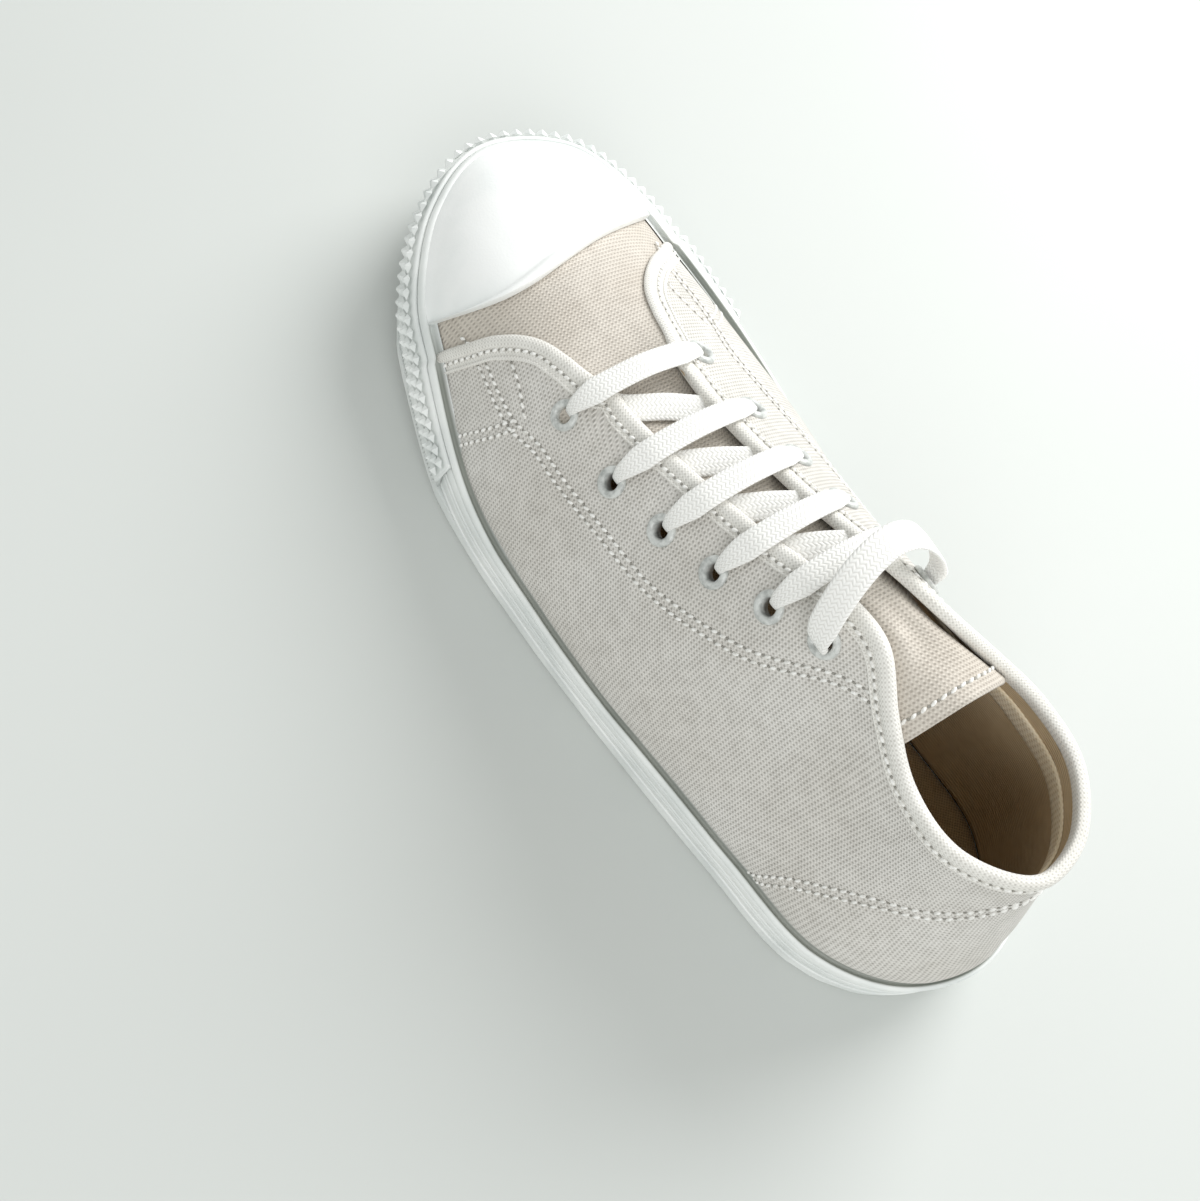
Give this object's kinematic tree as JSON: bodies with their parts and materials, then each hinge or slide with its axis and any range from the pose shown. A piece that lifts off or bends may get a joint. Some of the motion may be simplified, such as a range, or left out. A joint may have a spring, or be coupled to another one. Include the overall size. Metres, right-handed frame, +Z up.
{
  "type": "low-top canvas sneaker",
  "caption": "Left low-top lace-up canvas sneaker with a white rubber toe cap, foxing strip, ridged toe bumper and sole, laced with flat laces and standing empty.",
  "frame": {"origin": "on the floor under the middle of the shoe's length and width", "axes": "+X towards the toe, +Y towards the outer side, which is the wearer's left, +Z up"},
  "size_m": [0.2793, 0.1088, 0.1173],
  "materials": {
    "white_rubber": "satin vulcanised rubber",
    "off_white_canvas": "plain weave cotton canvas",
    "beige_insole_cloth": "cloth over foam",
    "white_lace": "flat braided cotton",
    "white_enamelled_metal": "satin"
  },
  "bodies": {
    "root": {"outsole": "white_rubber", "foxing": "white_rubber", "toe_bumper": "white_rubber", "toe_cap": "white_rubber", "upper": "off_white_canvas", "tongue": "off_white_canvas", "insole": "beige_insole_cloth", "lace_loop": "white_lace", "eyelet_outer_1": "white_enamelled_metal", "eyelet_outer_2": "white_enamelled_metal", "eyelet_outer_3": "white_enamelled_metal", "eyelet_outer_4": "white_enamelled_metal", "eyelet_outer_5": "white_enamelled_metal", "eyelet_outer_6": "white_enamelled_metal", "eyelet_inner_1": "white_enamelled_metal", "eyelet_inner_2": "white_enamelled_metal", "eyelet_inner_3": "white_enamelled_metal", "eyelet_inner_4": "white_enamelled_metal", "eyelet_inner_5": "white_enamelled_metal", "eyelet_inner_6": "white_enamelled_metal", "lace_bar_1": "white_lace", "lace_bar_2": "white_lace", "lace_bar_3": "white_lace", "lace_bar_4": "white_lace", "lace_bar_5": "white_lace"}
  },
  "joints": []
}
